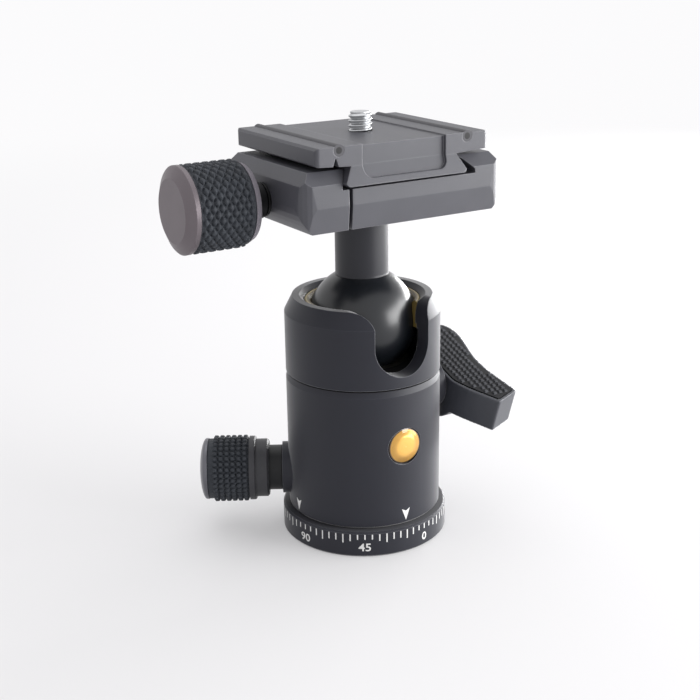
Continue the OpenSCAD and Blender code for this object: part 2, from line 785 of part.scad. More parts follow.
module pan_cap() {
    r = pan_cap_d / 2;
    color("lightsteelblue") on_pan_axis() translate([0, 0, pan_cap_at])
        turned(concat([[0, 0], [r, 0], [r, 0.7]],
            [for (i = [1:8]) [(r - 0.8) * cos(i * 11.25) + 0.8 * (1 - i / 8),
                0.7 + (pan_cap_h - 0.7) * sin(i * 11.25)]]));
}

// ---- ball, stem and clamp ----

module ball() {
    color("#1f2022") translate([0, 0, ball_z]) sphere(ball_r);
}

module stem() {
    top = clamp_z - seat_gap;
    reach = ball_r + neck_r;
    hub = [stem_r + neck_r, sqrt(reach * reach - pow(stem_r + neck_r, 2))];
    foot = hub * ball_r / reach;
    color("#1f2022") difference() {
        union() {
            bar(stem_r, ball_z + foot[1] - 1, top);
            translate([0, 0, ball_z]) rotate_extrude() difference() {
                polygon([[stem_r - 1, foot[1] - 1], foot, [stem_r, hub[1]], [stem_r - 1, hub[1]]]);
                translate(hub) circle(neck_r);
            }
        }
        translate([0, 0, ball_z]) sphere(ball_r + 0.1);
        bar(bolt_d / 2 + run_gap, clamp_z - bolt_grip - 1, clamp_z);
    }
}

module stem_bolt() {
    head = clamp_z + channel_floor - 0.3;
    color("silver") difference() {
        union() {
            bar(bolt_d / 2, clamp_z - bolt_grip, head - 1);
            bar(bolt_d / 2 + 2, head - 4.6, head);
        }
        translate([0, 0, head - 3]) cylinder(r = bolt_d * 0.48, h = 4, $fn = 6);
    }
}

// the clamp's outer form, up to its left and right ends
module clamp_form() {
    bulge = 6.3;
    shoulder = clamp_h - top_bevel_h;
    function end(x) = concat(
        along([[x - 2.8, 0], [x - 1.3, 1.5], [x, 3.5], [x, bulge]], 5),
        [[x, bulge], [x - 0.4, shoulder], [x - 0.4 - top_bevel_w, clamp_h]]);
    function flip(p) = [for (i = [len(p) - 1:-1:0]) [-p[i][0], p[i][1]]];
    y = clamp_y;
    translate([0, 0, clamp_z]) intersection() {
        along_y(-y - 1, y + 1) polygon(concat(end(clamp_right), flip(end(clamp_left))));
        rotate([0, 0, 90]) along_y(-50, 50)
            polygon([[0.7 - y, 0], [-y, bulge], [0.2 - y, shoulder], [0.2 + top_bevel_w - y, clamp_h],
                [y - 0.2 - top_bevel_w, clamp_h], [y - 0.2, shoulder], [y, bulge], [y - 0.7, 0]]);
        linear_extrude(clamp_h) polygon(rounded([
            [-clamp_left, -y, clamp_corner_r], [clamp_right, -y, clamp_corner_r],
            [clamp_right, y, clamp_corner_r], [-clamp_left, y, clamp_corner_r]]));
    }
}

// half width of the dovetail between the plate's flanks, at a height above the base
function dovetail(z) = (foot_w + (neck_w - foot_w) * (z - flank_z) / (wing_z - flank_z)) / 2;

// the channel's half beside the fixed lip, drawn in X and Z; the lead-in stands away from the plate
module fixed_half(lead) {
    low = clamp_z + channel_floor;
    top = clamp_z + clamp_h;
    wall = foot_w / 2 + relief_w;
    bend = top - lead_w;
    tip = dovetail(top) + (lead ? lead_w : flank_gap);
    under = lead ? [dovetail(bend) + 2 * lead_w, bend] : [dovetail(top - lip_h) + flank_gap, top - lip_h];
    polygon([[-split_x - 1, low], [wall, low], [wall, low + relief_h], under, [tip, top],
        [tip, top + 1], [-split_x - 1, top + 1]]);
}

// the channel's half in the jaw, which follows the plate's flank
module jaw_half() {
    low = clamp_z + channel_floor;
    top = clamp_z + clamp_h;
    polygon([[0, low], [-foot_w / 2 - flank_gap, low], [-foot_w / 2 - flank_gap, flank_z],
        [-dovetail(top) - flank_gap, top], [-dovetail(top) - flank_gap, top + 1], [0, top + 1]]);
}

module clamp_body() {
    y = clamp_y + 1;
    color("#37383b") difference() {
        clamp_form();
        translate([-50 - split_x, -y, clamp_z - 1]) cube([50, 2 * y, clamp_h + 2]);
        along_y(-y, y) fixed_half(false);
        for (from = [-y, clamp_y - lead_in]) along_y(from, from + lead_in + 1) fixed_half(true);
        bar(bolt_d / 2 + press_gap, clamp_z - 1, clamp_z + channel_floor + 1);
        bar(bolt_d / 2 + 2.1, clamp_z + channel_floor - 4.9, clamp_z + channel_floor + 1);
        on_knob_axis() bar(knob_screw_d / 2 + run_gap, knob_screw_tip - 0.6, split_x + 1);
        for (side = [-1, 1]) translate([0, side * pin_pitch / 2, 0]) on_knob_axis() {
            bar(pin_d / 2 + press_gap, split_x - pin_grip - press_gap, split_x + 1);
            bar(spring_d / 2 + 0.2, split_x - spring_seat, split_x + 1);
        }
    }
}

module jaw_pins() {
    color("silver") for (side = [-1, 1]) translate([0, side * pin_pitch / 2, 0])
        on_knob_axis() bar(pin_d / 2, split_x - pin_grip, clamp_left - pin_wall - free_gap);
}

module jaw_springs() {
    color("silver") for (side = [-1, 1])
        translate([spring_seat - run_gap - split_x, side * pin_pitch / 2, knob_axis_z]) rotate([0, -90, 0])
            spring((spring_d - spring_wire) / 2, spring_wire / 2, 2 * (spring_seat - run_gap) + split_gap,
                spring_turns);
}

module clamp_jaw() {
    y = clamp_y + 1;
    face = split_x + split_gap;
    color("#37383b") difference() {
        clamp_form();
        translate([-face, -y, clamp_z - 1]) cube([100, 2 * y, clamp_h + 2]);
        along_y(-y, y) jaw_half();
        on_knob_axis() {
            bar(knob_screw_d / 2 + 0.15, face - 1, clamp_left + 1);
            bar(hub_d / 2 + 0.3, jaw_seat, clamp_left + 1);
        }
        for (side = [-1, 1]) translate([0, side * pin_pitch / 2, 0]) on_knob_axis() {
            bar(pin_d / 2 + run_gap, face - 1, clamp_left - pin_wall);
            bar(spring_d / 2 + 0.2, face - 1, face + spring_seat);
        }
    }
}

module thrust_washer() {
    color("silver") on_knob_axis() difference() {
        bar(hub_d / 2 - 0.2, jaw_seat, hub_at);
        bar(knob_screw_d / 2 + 0.15, jaw_seat - 1, hub_at + 1);
    }
}

// ---- clamp knob ----

module clamp_screw() {
    color("silver") on_knob_axis() bar(knob_screw_d / 2, knob_screw_tip, cap_at - 2);
}

module knob_core() {
    start = hub_at + seat_gap;
    r = knob_flange_d / 2;
    color("#2a2b2d") on_knob_axis() difference() {
        turned([[0, start], [hub_d / 2 - 0.4, start], [hub_d / 2, start + 0.4], [hub_d / 2, flange_at],
            [r - 0.8, flange_at], [r, grip_at], [knob_core_r, grip_at], [knob_core_r, cap_at], [0, cap_at]]);
        bar(knob_screw_d / 2 + press_gap, start - 1, cap_at - 2 + press_gap);
    }
}

module knob_grip() {
    color("#1b1c1d") on_knob_axis() translate([0, 0, grip_at])
        studded_sleeve(knob_grip_d / 2, knob_core_r + press_gap, knob_grip_l, stud_pitch,
            knob_grip_band, knob_grip_band);
}

module knob_cap() {
    r = knob_cap_d / 2;
    band = knob_cap_t * 0.55;
    color("rosybrown") on_knob_axis() translate([0, 0, cap_at])
        turned([[0, 0], [r - 0.3, 0], [r, 0.3], [r, band - 0.3], [r - 0.3, band],
            [knob_face_d / 2, knob_cap_t], [0, knob_cap_t]]);
}

// ---- plate ----

module plate_profile() {
    half = plate_w / 2;
    edge = wing_z + 0.55;
    function side() = [[foot_w / 2 - foot_bevel, plate_z], [foot_w / 2, flank_z], [neck_w / 2, wing_z],
        [half - 0.4, edge], [half, edge + 0.4], [half, plate_top - 0.6], [half - 0.6, plate_top]];
    polygon(concat(side(), [for (i = [6:-1:0]) [-side()[i][0], side()[i][1]]]));
}

// fills the plate's length, whose ends slope outwards below the wings, set back by some depth
module between_ends(back) {
    y = plate_l / 2 - back;
    rotate([90, 0, 90]) translate([0, 0, -plate_w]) linear_extrude(2 * plate_w)
        polygon([[-y - foot_reach, plate_z], [-y, wing_z], [-y, plate_top + 2],
            [y, plate_top + 2], [y, wing_z], [y + foot_reach, plate_z]]);
}

module quick_plate() {
    y = plate_l / 2;
    reach = y + foot_reach;
    field = plate_top - field_depth;
    pocket = plate_z + pocket_ledge;
    corner_x = plate_w / 2 - plate_corner_r;
    corner_y = y - plate_corner_r;
    vee = (neck_w + plate_w) / 4 - 0.6;
    color("#3a3b3e") difference() {
        intersection() {
            along_y(-reach, reach) plate_profile();
            between_ends(0);
        }
        for (a = [-1, 1]) for (b = [-1, 1]) translate([a * corner_x, b * corner_y, wing_z]) difference() {
            translate([a > 0 ? 0 : -plate_w, b > 0 ? 0 : -plate_w, 0]) cube([plate_w, plate_w, wing_t + 1]);
            bar(plate_corner_r, -1, wing_t + 2);
        }
        translate([-field_w / 2, -y - 1, field]) cube([field_w, 2 * y + 2, 5]);
        for (side = [-1, 1]) {
            translate([side * cord_pitch / 2, 0, plate_top + cord_proud - cord_d / 2]) {
                rotate([90, 0, 0]) bar(cord_d / 2 + press_gap, -y - 1, y + 1);
                translate([-cord_d * 0.42, -y - 1, 0]) cube([cord_d * 0.84, 2 * y + 2, cord_d]);
            }
        }
        difference() {
            along_y(-reach - 1, reach + 1) polygon(rounded([
                [-pocket_w / 2, pocket, pocket_r], [pocket_w / 2, pocket, pocket_r],
                [pocket_w / 2, plate_top + 1, 0], [-pocket_w / 2, plate_top + 1, 0]]));
            between_ends(pocket_depth);
        }
        along_y(-reach, reach) translate([-vee, wing_z])
            polygon([[-1, -0.2], [1, -0.2], [0.1, vee_depth + 0.3], [-0.1, vee_depth + 0.3]]);
        bar(screw_head_d / 2 + 0.3, plate_z - 1, plate_z + screw_pocket_h);
        bar(clip_d / 2 + press_gap, plate_z, plate_z + screw_pocket_h + clip_t);
        bar(screw_d / 2 + 0.15, plate_z, plate_top + 1);
    }
}

module plate_cords() {
    y = plate_l / 2;
    color("#202122") for (side = [-1, 1])
        translate([side * cord_pitch / 2, 0, plate_top + cord_proud - cord_d / 2])
            rotate([90, 0, 0]) bar(cord_d / 2, -y, y);
}

module screw_clip() {
    z = plate_z + screw_pocket_h;
    color("silver") difference() {
        bar(clip_d / 2, z, z + clip_t);
        bar(screw_d / 2 - 0.7 + run_gap, z - 1, z + clip_t + 1);
    }
}

module camera_screw() {
    head = plate_z + 0.3;
    field = plate_top - field_depth;
    top = field + screw_up;
    color("silver") difference() {
        turned([[0, head], [screw_head_d / 2 - 0.4, head], [screw_head_d / 2, head + 0.4],
            [screw_head_d / 2, head + screw_head_t], [screw_d / 2 - 0.7, head + screw_head_t],
            [screw_d / 2 - 0.7, field - 0.6], [screw_d / 2, field + 0.1], [screw_d / 2, top - 0.7],
            [screw_d / 2 - 0.7, top], [0, top]]);
        translate([-screw_head_d, -0.8, head - 1]) cube([2 * screw_head_d, 1.6, 2.4]);
    }
}

pan_base();
thread_insert();
pan_washer();
pan_retainer();
lower_housing();
upper_housing();
ball_liner();
badge_disc();
pan_bush();
lever_bush();
lock_piston();
ball_seat();
cam_shaft();
lock_lever();
lever_pads();
lever_screw();
brake_pad();
pan_screw();
pan_knob();
pan_grip();
pan_cap();
ball();
stem();
stem_bolt();
clamp_body();
jaw_pins();
jaw_springs();
clamp_jaw();
thrust_washer();
clamp_screw();
knob_core();
knob_grip();
knob_cap();
quick_plate();
plate_cords();
camera_screw();
screw_clip();
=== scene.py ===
import json
import math

import bmesh
import bpy
from mathutils import Matrix, Vector
from mathutils.bvhtree import BVHTree


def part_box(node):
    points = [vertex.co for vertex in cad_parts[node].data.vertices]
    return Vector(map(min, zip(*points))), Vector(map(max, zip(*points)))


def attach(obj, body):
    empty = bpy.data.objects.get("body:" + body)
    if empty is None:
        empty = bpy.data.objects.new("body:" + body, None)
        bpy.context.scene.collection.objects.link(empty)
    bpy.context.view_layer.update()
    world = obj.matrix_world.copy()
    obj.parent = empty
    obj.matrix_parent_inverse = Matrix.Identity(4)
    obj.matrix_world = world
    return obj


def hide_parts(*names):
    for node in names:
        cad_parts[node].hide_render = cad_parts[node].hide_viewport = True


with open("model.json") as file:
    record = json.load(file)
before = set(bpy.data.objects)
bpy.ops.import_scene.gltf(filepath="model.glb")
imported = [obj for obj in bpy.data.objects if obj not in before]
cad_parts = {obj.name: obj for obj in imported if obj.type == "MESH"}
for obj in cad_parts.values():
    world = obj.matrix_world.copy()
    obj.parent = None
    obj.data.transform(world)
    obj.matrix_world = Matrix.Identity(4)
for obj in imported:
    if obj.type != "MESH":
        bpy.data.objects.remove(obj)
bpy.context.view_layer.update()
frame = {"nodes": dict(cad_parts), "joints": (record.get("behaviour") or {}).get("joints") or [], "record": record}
nodes = frame["nodes"]
record = frame["record"]
joints = {joint["name"]: joint for joint in frame["joints"]}
bodyOf = {node: body for body, members in record["behaviour"]["bodies"].items() for node in members}
slotOf = {row["node"]: row["material_slot"] for row in record["subparts"]}
mm = 0.001
up = Vector((0, 0, 1))
print("frame loaded:", len(nodes), "nodes")


def corners(node):
    # a node's lowest and highest corner, in millimetres
    low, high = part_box(node)
    return low / mm, high / mm


def turning(joint):
    # the axis of a joint and a point on it, in millimetres
    return Vector(joints[joint]["axis"]), Vector(joints[joint]["pos_m"]) / mm


def maths(operation, swapped=False):
    # one operator of Num; the swapped one is its reflected form, as in 1 - mask
    def method(value, other):
        pair = (other, value) if swapped else (value, other)
        return value.graph.calc(operation, *pair)
    return method


class Num:
    # a value that varies over a surface; arithmetic on it adds Math nodes
    def __init__(self, graph, socket):
        self.graph = graph
        self.socket = socket

    __add__ = __radd__ = maths("ADD")
    __mul__ = __rmul__ = maths("MULTIPLY")
    __sub__ = maths("SUBTRACT")
    __rsub__ = maths("SUBTRACT", swapped=True)
    __truediv__ = maths("DIVIDE")
    __rtruediv__ = maths("DIVIDE", swapped=True)
    __gt__ = maths("GREATER_THAN")
    __lt__ = maths("LESS_THAN")


class Graph:
    # makes and links the nodes of one node tree
    def __init__(self, tree):
        self.tree = tree

    def add(self, kind, settings=None, sockets=None, out=0):
        made = self.tree.nodes.new(kind)
        for key, value in (settings or {}).items():
            setattr(made, key, value)
        for key, value in (sockets or {}).items():
            self.feed(made.inputs[key], value)
        return Num(self, made.outputs[out])

    def feed(self, target, value):
        if isinstance(value, Num):
            self.tree.links.new(value.socket, target)
        elif target.type == "RGBA" and len(value) == 3:
            target.default_value = (*value, 1)
        else:
            target.default_value = value

    def calc(self, operation, *values):
        return self.add("ShaderNodeMath", {"operation": operation}, dict(enumerate(values)))

    def vector(self, operation, *values, out=0):
        return self.add("ShaderNodeVectorMath", {"operation": operation}, dict(enumerate(values)), out)

    def dot(self, first, second):
        return self.vector("DOT_PRODUCT", first, second, out=1)

    def length(self, arm):
        return self.vector("LENGTH", arm, out=1)

    def mixColour(self, factor, first, second):
        return self.add("ShaderNodeMix", {"data_type": "RGBA"}, {0: factor, 6: first, 7: second}, out=2)

    def smooth(self, value, low, high, toLow=0.0, toHigh=1.0):
        return self.add("ShaderNodeMapRange", {"interpolation_type": "SMOOTHSTEP"},
                        {0: value, 1: low, 2: high, 3: toLow, 4: toHigh})


finish = {}  # every material by its name


class Paint(Graph):
    # one material; its coordinates are the frame's, in millimetres
    def __init__(self, name, **constants):
        self.material = bpy.data.materials.new(name)
        self.material.use_nodes = True
        super().__init__(self.material.node_tree)
        self.shader = self.tree.nodes["Principled BSDF"]
        for key, value in constants.items():
            self.shader.inputs[key.replace("_", " ")].default_value = value
        spot = self.add("ShaderNodeTexCoord", out="Object")
        self.place = self.vector("MULTIPLY", spot, (1 / mm,) * 3)
        finish[name] = self.material

    def noise(self, size, detail=2, stretch=(1, 1, 1)):
        # size is the width of one blotch
        at = self.vector("MULTIPLY", self.place, tuple(s / size for s in stretch))
        return self.add("ShaderNodeTexNoise", None, {"Vector": at, "Scale": 1.0, "Detail": detail})

    def rounded(self, radius):
        # the normal of the surface with its edges rounded
        return self.add("ShaderNodeBevel", {"samples": 6}, {"Radius": radius * mm})

    def edges(self, normal, start=0.004, full=0.15):
        # 1 where the rounded normal leaves the flat one
        flat = self.add("ShaderNodeNewGeometry", out="True Normal")
        return self.smooth(1 - self.dot(normal, flat), start, full)

    def bump(self, height, depth, below=None):
        # depth is the relief in millimetres where the height is 1
        sockets = {"Height": height, "Distance": depth * mm, "Strength": 1.0}
        if below:
            sockets["Normal"] = below
        return self.add("ShaderNodeBump", None, sockets)

    def dress(self, **links):
        for key, value in links.items():
            self.feed(self.shader.inputs[key.replace("_", " ")], value)


def scaled(colour, factor):
    return tuple(c * factor for c in colour)


def swing(noise, amount):
    # a noise, centred on zero and scaled
    return (noise - 0.5) * amount


# bead-blasted and anodised aluminium; grain is the size of its pits, relief their depth and soft the radius of its
# edges;
# the second colour is that of the edges, partly wear and partly painted highlight
blastedCoats = {
    "blackBody": dict(colour=(0.0102, 0.011, 0.0185), edgeWearAndHighlight=(0.16, 0.165, 0.185), rough=0.54, soft=0.3,
                      edgeWearAndHighlightShare=0.9, specular=0.4, sheen=0.48),
    "greyClamp": dict(colour=(0.062, 0.0625, 0.074), edgeWearAndHighlight=(0.25, 0.25, 0.27), rough=0.46, grain=0.28,
                      relief=0.02, soft=0.4, edgeWearAndHighlightShare=0.7),
    "leverCoat": dict(colour=(0.044, 0.047, 0.058), edgeWearAndHighlight=(0.2, 0.2, 0.22), rough=0.4, soft=0.5, sheen=0.3),
    "ballCoat": dict(colour=(0.007, 0.0085, 0.0115), edgeWearAndHighlight=(0.02, 0.02, 0.022), rough=0.3, relief=0.0006,
                     edgeWearAndHighlightShare=0.2, specular=0.6, blotch=0.25),
    "stemCoat": dict(colour=(0.0085, 0.009, 0.0145), edgeWearAndHighlight=(0.06, 0.06, 0.065), rough=0.42, relief=0.002,
                     edgeWearAndHighlightShare=0.4, specular=0.45, sheen=0.35),
    "pistonDark": dict(colour=(0.005, 0.005, 0.0055), edgeWearAndHighlight=(0.02, 0.02, 0.02), rough=0.55, specular=0.15),
}
blasting = {"cloud": 9, "fade": 0.35, "paler": 1.25, "pitRough": 0.12, "cloudRough": 0.08,
            "sheenRough": 0.35}


def blasted(name, colour, edgeWearAndHighlight, rough, grain=0.12, relief=0.005, soft=0.25, edgeWearAndHighlightShare=0.5, specular=0.5,
            blotch=1.0, sheen=0.0):
    # fine pits, faint blotches, and paler edges that are partly wear and partly painted highlight
    paint = Paint(name, Specular_IOR_Level=specular, Sheen_Weight=sheen,
                  Sheen_Roughness=blasting["sheenRough"])
    pits = paint.noise(grain, detail=3)
    cloud = paint.noise(blasting["cloud"], detail=3)
    shape = paint.rounded(soft)
    faded = paint.smooth(cloud, 0.3, 0.7, toHigh=blasting["fade"] * blotch)
    tone = paint.mixColour(faded, colour, scaled(colour, blasting["paler"]))
    pitRough = swing(pits, blasting["pitRough"] * blotch)
    cloudRough = swing(cloud, blasting["cloudRough"] * blotch)
    # painted highlight along the rounded edges, mixed with wear
    paint.dress(
        Base_Color=paint.mixColour(paint.edges(shape) * (cloud + 0.5) * edgeWearAndHighlightShare, tone, edgeWearAndHighlight),
        Roughness=rough + pitRough + cloudRough,
        Normal=paint.bump(pits, relief, shape))


for name, settings in blastedCoats.items():
    blasted(name, **settings)

rubbers = {
    "blackRubber": dict(colour=(0.032, 0.036, 0.044)),
    "padRubber": dict(colour=(0.009, 0.0095, 0.011)),
    "padStuds": dict(colour=(0.042, 0.044, 0.051), rough=0.5),
    # near-black ring in the housing groove: painted shade
    "grooveShadeRubber": dict(colour=(0.003, 0.003, 0.0032), rough=0.8, specular=0.1),
}
moulding = {"skin": 0.3, "relief": 0.012, "skinRough": 0.2, "dust": 3.5, "dusty": 0.4, "paler": 1.5}


def rubber(name, colour, rough=0.6, specular=0.3):
    # a fine skin with dust in soft patches
    paint = Paint(name, Specular_IOR_Level=specular)
    skin = paint.noise(moulding["skin"], detail=4)
    dust = paint.smooth(paint.noise(moulding["dust"], detail=3), 0.45, 0.75, toHigh=moulding["dusty"])
    paint.dress(
        Base_Color=paint.mixColour(dust, colour, scaled(colour, moulding["paler"])),
        Roughness=rough + swing(skin, moulding["skinRough"]),
        Normal=paint.bump(skin, moulding["relief"]))


for name, settings in rubbers.items():
    rubber(name, **settings)

# turned metal; flange is where along the axis a second colour starts, and that colour
turnedCoats = {
    "capGunmetal": dict(colour=(0.155, 0.134, 0.146), rough=0.45, metallic=0.6, joint="clamp_knob_turn",
                        relief=0.0015),
    "knobCoat": dict(colour=(0.006, 0.006, 0.007), rough=0.5, metallic=0.0, joint="clamp_knob_turn",
                     specular=0.2, flange=(34.75, (0.2, 0.185, 0.21))),
    "panCoat": dict(colour=(0.008, 0.0085, 0.0098), rough=0.45, metallic=0.0, joint="pan_knob_turn",
                    specular=0.3, flange=(27.0, (0.045, 0.045, 0.05))),
    "darkWasher": dict(colour=(0.02, 0.02, 0.021), rough=0.45, metallic=0.6, joint="clamp_knob_turn"),
    "capSilver": dict(colour=(0.14, 0.14, 0.157), rough=0.36, metallic=0.8, joint="pan_knob_turn"),
    "steel": dict(colour=(0.48, 0.49, 0.5), rough=0.36),
    "brass": dict(colour=(0.6, 0.42, 0.17), rough=0.32),
}
lathe = {"rings": 0.07, "ringRough": 0.15, "soft": 0.15, "rub": 0.4, "cloud": 5, "fade": 0.3,
         "darker": 0.85, "paler": 1.6}


def turned(name, colour, rough, metallic=1.0, joint="pan", relief=0.002, specular=0.5, flange=None):
    # fine rings round the axis of a joint, and paler edges that are partly rubbed metal and partly painted
    # highlight
    axis, centre = turning(joint)
    paint = Paint(name, Metallic=metallic, Specular_IOR_Level=specular)
    arm = paint.vector("SUBTRACT", paint.place, centre)
    along = paint.dot(arm, axis)
    length = paint.length(arm)
    radius = paint.calc("SQRT", length * length - along * along)
    rings = paint.add("ShaderNodeTexNoise", {"noise_dimensions": "1D"},
                      {"W": (radius + along) / lathe["rings"], "Scale": 1.0, "Detail": 2})
    shape = paint.rounded(lathe["soft"])
    cloud = paint.smooth(paint.noise(lathe["cloud"]), 0.3, 0.7, toHigh=lathe["fade"])
    tone = paint.mixColour(cloud, colour, scaled(colour, lathe["darker"]))
    # painted highlight along the rounded edges, mixed with rubbing
    tone = paint.mixColour(paint.edges(shape) * lathe["rub"], tone, scaled(colour, lathe["paler"]))
    if flange:
        start, other = flange
        tone = paint.mixColour(along > start, tone, other)
    paint.dress(
        Base_Color=tone,
        Roughness=rough + swing(rings, lathe["ringRough"]),
        Normal=paint.bump(rings, relief, shape))


for name, settings in turnedCoats.items():
    turned(name, **settings)

polymers = {
    "seatDark": dict(colour=(0.012, 0.011, 0.009), rough=0.5),
    "whitePolymer": dict(colour=(0.75, 0.75, 0.72), rough=0.4),
    "whitePrint": dict(colour=(0.8, 0.8, 0.79), rough=0.5),
}
pressing = {"cloud": 2.5, "fade": 0.4, "darker": 0.8, "fine": 0.2, "fineRough": 0.15, "relief": 0.004}


def polymer(name, colour, rough):
    # a faint cloud of a darker tone under a fine grain
    paint = Paint(name)
    cloud = paint.noise(pressing["cloud"], detail=3)
    fine = paint.noise(pressing["fine"])
    paint.dress(
        Base_Color=paint.mixColour(cloud * pressing["fade"], colour, scaled(colour, pressing["darker"])),
        Roughness=rough + swing(fine, pressing["fineRough"]),
        Normal=paint.bump(fine, pressing["relief"]))


for name, settings in polymers.items():
    polymer(name, **settings)

# fade, edge and slope are shares of the badge's radius; dome is the height of its bump
# the deep colour is painted shade towards the dome's edge, and the dark ring colour is painted shade of the recess
# round it
badge = {"foil": (0.85, 0.47, 0.09), "deep": (0.62, 0.31, 0.03), "rim": (0.05, 0.03, 0.012),
         "fade": (0.35, 0.95), "edge": (0.9, 0.97), "slope": (0.5, 1.02), "dome": 0.9,
         "flakes": 0.3, "cloud": 4, "cloudy": 0.5, "rough": 0.32, "flakeRough": 0.2}


def makeBadgeGold():
    # gold foil under clear resin, with painted shade: darker towards its rim, and a dark ring at the rim for the
    # recess round it
    low, high = corners("badge_disc")
    paint = Paint("badgeGold", Metallic=0.3, Coat_Weight=1.0, Coat_Roughness=0.04)
    arm = paint.vector("MULTIPLY", paint.vector("SUBTRACT", paint.place, (low + high) / 2), (1, 0, 1))
    out = paint.length(arm) / ((high.x - low.x) / 2)
    flakes = paint.noise(badge["flakes"])
    cloud = swing(paint.noise(badge["cloud"]), badge["cloudy"])
    # painted shade that deepens towards the rim
    depth = paint.smooth(out + cloud, *badge["fade"])
    foil = paint.mixColour(depth, badge["foil"], badge["deep"])
    paint.dress(
        Base_Color=paint.mixColour(paint.smooth(out, *badge["edge"]), foil, badge["rim"]),
        Roughness=badge["rough"] + swing(flakes, badge["flakeRough"]),
        Normal=paint.bump(paint.smooth(out, *badge["slope"], toLow=1, toHigh=0), badge["dome"]))


# the ridge is given below the liner's top and out from the middle
liner = {"shade": (0.12, 0.085, 0.025), "olive": (0.24, 0.17, 0.05), "ridgeHighlight": (0.66, 0.54, 0.27),
         "ridgeBelow": (0.35, 0.1), "ridgeOut": (15.1, 15.3), "scuffs": 0.8, "stretch": (1, 1, 3),
         "rough": 0.38, "scuffRough": 0.2, "relief": 0.004, "soft": 0.1}


def makeLinerGold():
    # olive polymer with a painted highlight along the ridge at its top
    top = corners("ball_liner")[1].z
    paint = Paint("linerGold", Specular_IOR_Level=0.4)
    height = paint.dot(paint.place, up)
    radius = paint.length(paint.vector("MULTIPLY", paint.place, (1, 1, 0)))
    low, high = liner["ridgeBelow"]
    # the ridge mask places a painted highlight where the ridge would catch the light
    litRidge = paint.smooth(height, top - low, top - high) * paint.smooth(radius, *liner["ridgeOut"])
    scuffs = paint.noise(liner["scuffs"], detail=3, stretch=liner["stretch"])
    body = paint.mixColour(scuffs, liner["shade"], liner["olive"])
    paint.dress(
        Base_Color=paint.mixColour(litRidge, body, liner["ridgeHighlight"]),
        Roughness=liner["rough"] + swing(scuffs, liner["scuffRough"]),
        Normal=paint.bump(scuffs, liner["relief"], paint.rounded(liner["soft"])))


cord = {"skin": (0.07, 0.069, 0.077), "hollowShade": (0.012, 0.012, 0.013), "coreRadius": 0.75, "blur": 0.2,
        "rough": 0.5}


def makeCordRubber():
    # the two cords are hollow: where their ends show, the middle is painted dark as the shade inside the hollow
    low, high = corners("plate_cords")
    middle = (high.x - (high.z - low.z) / 2, 0, (high.z + low.z) / 2)
    paint = Paint("cordRubber", Specular_IOR_Level=0.3)
    arm = paint.vector("SUBTRACT", paint.vector("ABSOLUTE", paint.place), middle)
    off = paint.length(paint.vector("MULTIPLY", arm, (1, 0, 1)))
    skin = paint.noise(moulding["skin"], detail=4)
    solid = paint.smooth(off, cord["coreRadius"], cord["coreRadius"] + cord["blur"])
    paint.dress(
        Base_Color=paint.mixColour(solid, cord["hollowShade"], cord["skin"]),
        Roughness=cord["rough"] + swing(skin, moulding["skinRough"]),
        Normal=paint.bump(skin, moulding["relief"]))


makeBadgeGold()
makeLinerGold()
makeCordRubber()
print("finishes made:", len(finish))


def piece(name, verts, faces, body, coat, slot, replaced=(), sharp=35):
    # a new piece from points in millimetres
    mesh = bpy.data.meshes.new(name)
    mesh.from_pydata([Vector(v) * mm for v in verts], [], faces)
    mesh.validate()
    settle(name, mesh, body, coat, slot, replaced, sharp)


def settle(name, mesh, body, coat, slot, replaced=(), sharp=35):
    # puts a finished mesh in the scene; edges over sharp degrees stay crisp
    bm = bmesh.new()
    bm.from_mesh(mesh)
    bmesh.ops.recalc_face_normals(bm, faces=bm.faces)
    bm.to_mesh(mesh)
    bm.free()
    made = bpy.data.objects.new(name, mesh)
    bpy.context.scene.collection.objects.link(made)
    coated(mesh, coat)
    mesh.polygons.foreach_set("use_smooth", [True] * len(mesh.polygons))
    mesh.set_sharp_from_angle(angle=math.radians(sharp))
    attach(made, body)
    for node in replaced:
        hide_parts(node)


def coated(mesh, coat):
    mesh.materials.clear()
    mesh.materials.append(finish[coat])


def extent(node, axis, centre):
    # start, end, bore and radius of a round node along its axis
    spots = [v.co / mm - centre for v in nodes[node].data.vertices]
    along = [s.dot(axis) for s in spots]
    radii = [(s - axis * a).length for s, a in zip(spots, along)]
    return min(along), max(along), min(radii), max(radii)


def tube(rows, columns, at):
    # quads between closed rings of points; at(row, column) gives each point
    verts = [at(j, i) for j in range(rows) for i in range(columns)]
    faces = [[j * columns + i, j * columns + (i + 1) % columns,
              (j + 1) * columns + (i + 1) % columns, (j + 1) * columns + i]
             for j in range(rows - 1) for i in range(columns)]
    return verts, faces


def around(turns, radius, z):
    # a point round the upright axis, in turns from the x axis
    angle = 2 * math.pi * turns
    return radius * math.cos(angle), radius * math.sin(angle), z


coats = {
    "blackBody": ["pan_base", "lower_housing", "upper_housing"],
    "badgeGold": ["badge_disc"],
    "linerGold": ["ball_liner"],
    "seatDark": ["ball_seat"],
    "pistonDark": ["lock_piston"],
    "leverCoat": ["lock_lever"],
    "padRubber": ["lever_pads"],
    "whitePolymer": ["pan_washer"],
    "brass": ["pan_bush", "lever_bush", "brake_pad"],
    "steel": ["thread_insert", "pan_retainer", "cam_shaft", "lever_screw", "pan_screw", "stem_bolt",
              "jaw_pins", "jaw_springs", "clamp_screw", "screw_clip"],
    "panCoat": ["pan_knob"],
    "capSilver": ["pan_cap"],
    "ballCoat": ["ball"],
    "stemCoat": ["stem"],
    "greyClamp": ["clamp_body", "clamp_jaw", "quick_plate"],
    "darkWasher": ["thrust_washer"],
    "knobCoat": ["knob_core"],
    "capGunmetal": ["knob_cap"],
    "cordRubber": ["plate_cords"],
}
for coat, members in coats.items():
    for node in members:
        coated(nodes[node].data, coat)
print("rigid pieces coated")

